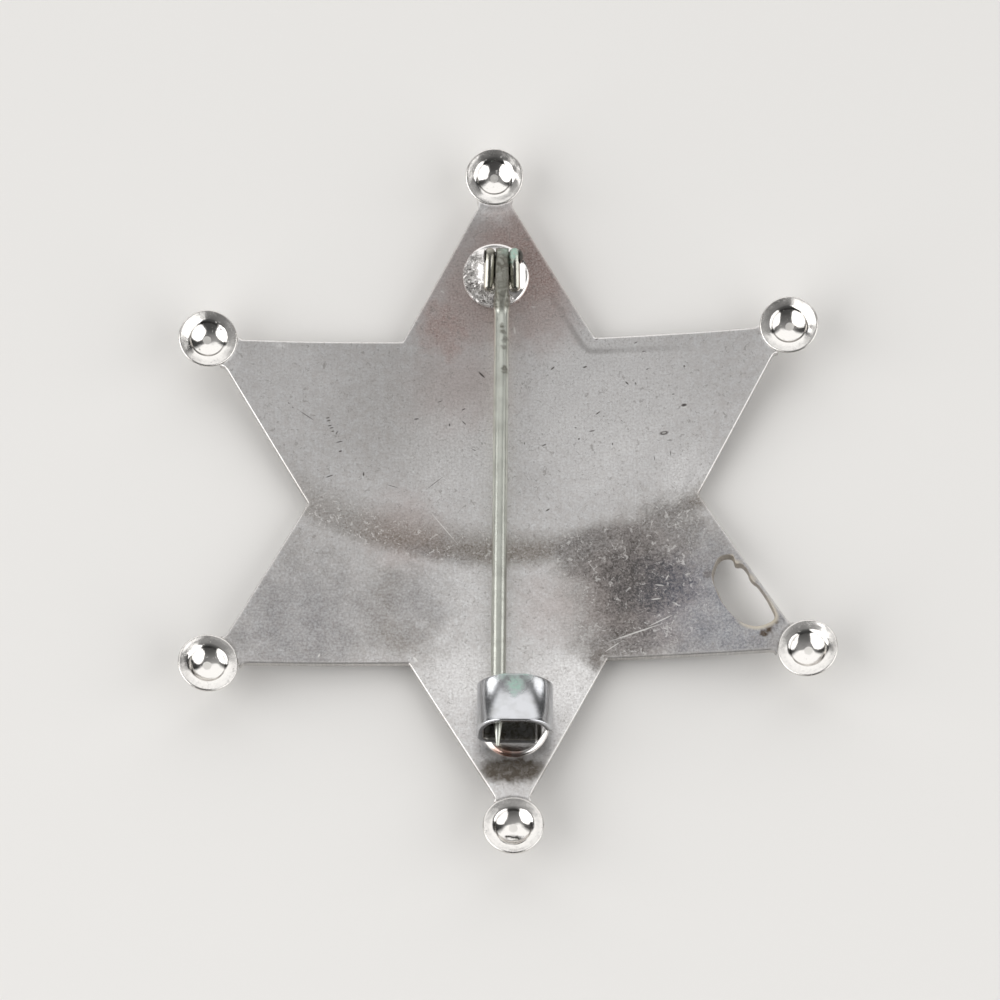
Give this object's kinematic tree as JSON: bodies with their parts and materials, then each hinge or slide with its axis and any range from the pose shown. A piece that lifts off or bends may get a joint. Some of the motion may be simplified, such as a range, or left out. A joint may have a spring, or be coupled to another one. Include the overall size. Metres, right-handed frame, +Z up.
{
  "type": "six-pointed star badge with ball tips and a hinged back pin",
  "caption": "Hollow-backed six-pointed star badge with ball tips, lying face down, with a hinged pin, an open catch and a worn-through hole near one tip.",
  "frame": {"origin": "under the middle of the star, on the surface it lies on", "axes": "+Z up out of the hollow back, away from the face, and +Y from the catch towards the hinge, through the upper tip"},
  "size_m": [0.0588, 0.067, 0.0077],
  "materials": {
    "plated_star": "nickel plate, satin, scratched and tarnished, with bright cups",
    "hinge_metal": "nickel silver, dull, with green verdigris",
    "catch_metal": "nickel silver, bright, with green verdigris",
    "pin_wire": "nickel silver wire, drawn and polished, tarnished towards the hinge"
  },
  "bodies": {
    "badge": {"star_plate": "plated_star", "hinge_joint": "hinge_metal", "hinge_rivet": "hinge_metal", "catch": "catch_metal"},
    "pin": {"pin_stem": "pin_wire"}
  },
  "joints": [
    {"name": "pin_hinge", "type": "hinge", "parent": "badge", "child": "pin", "pos_m": [0.0005, 0.0226, 0.00462], "axis": [-0.9993, 0.0363, 0], "range_deg": [0, 105]}
  ]
}
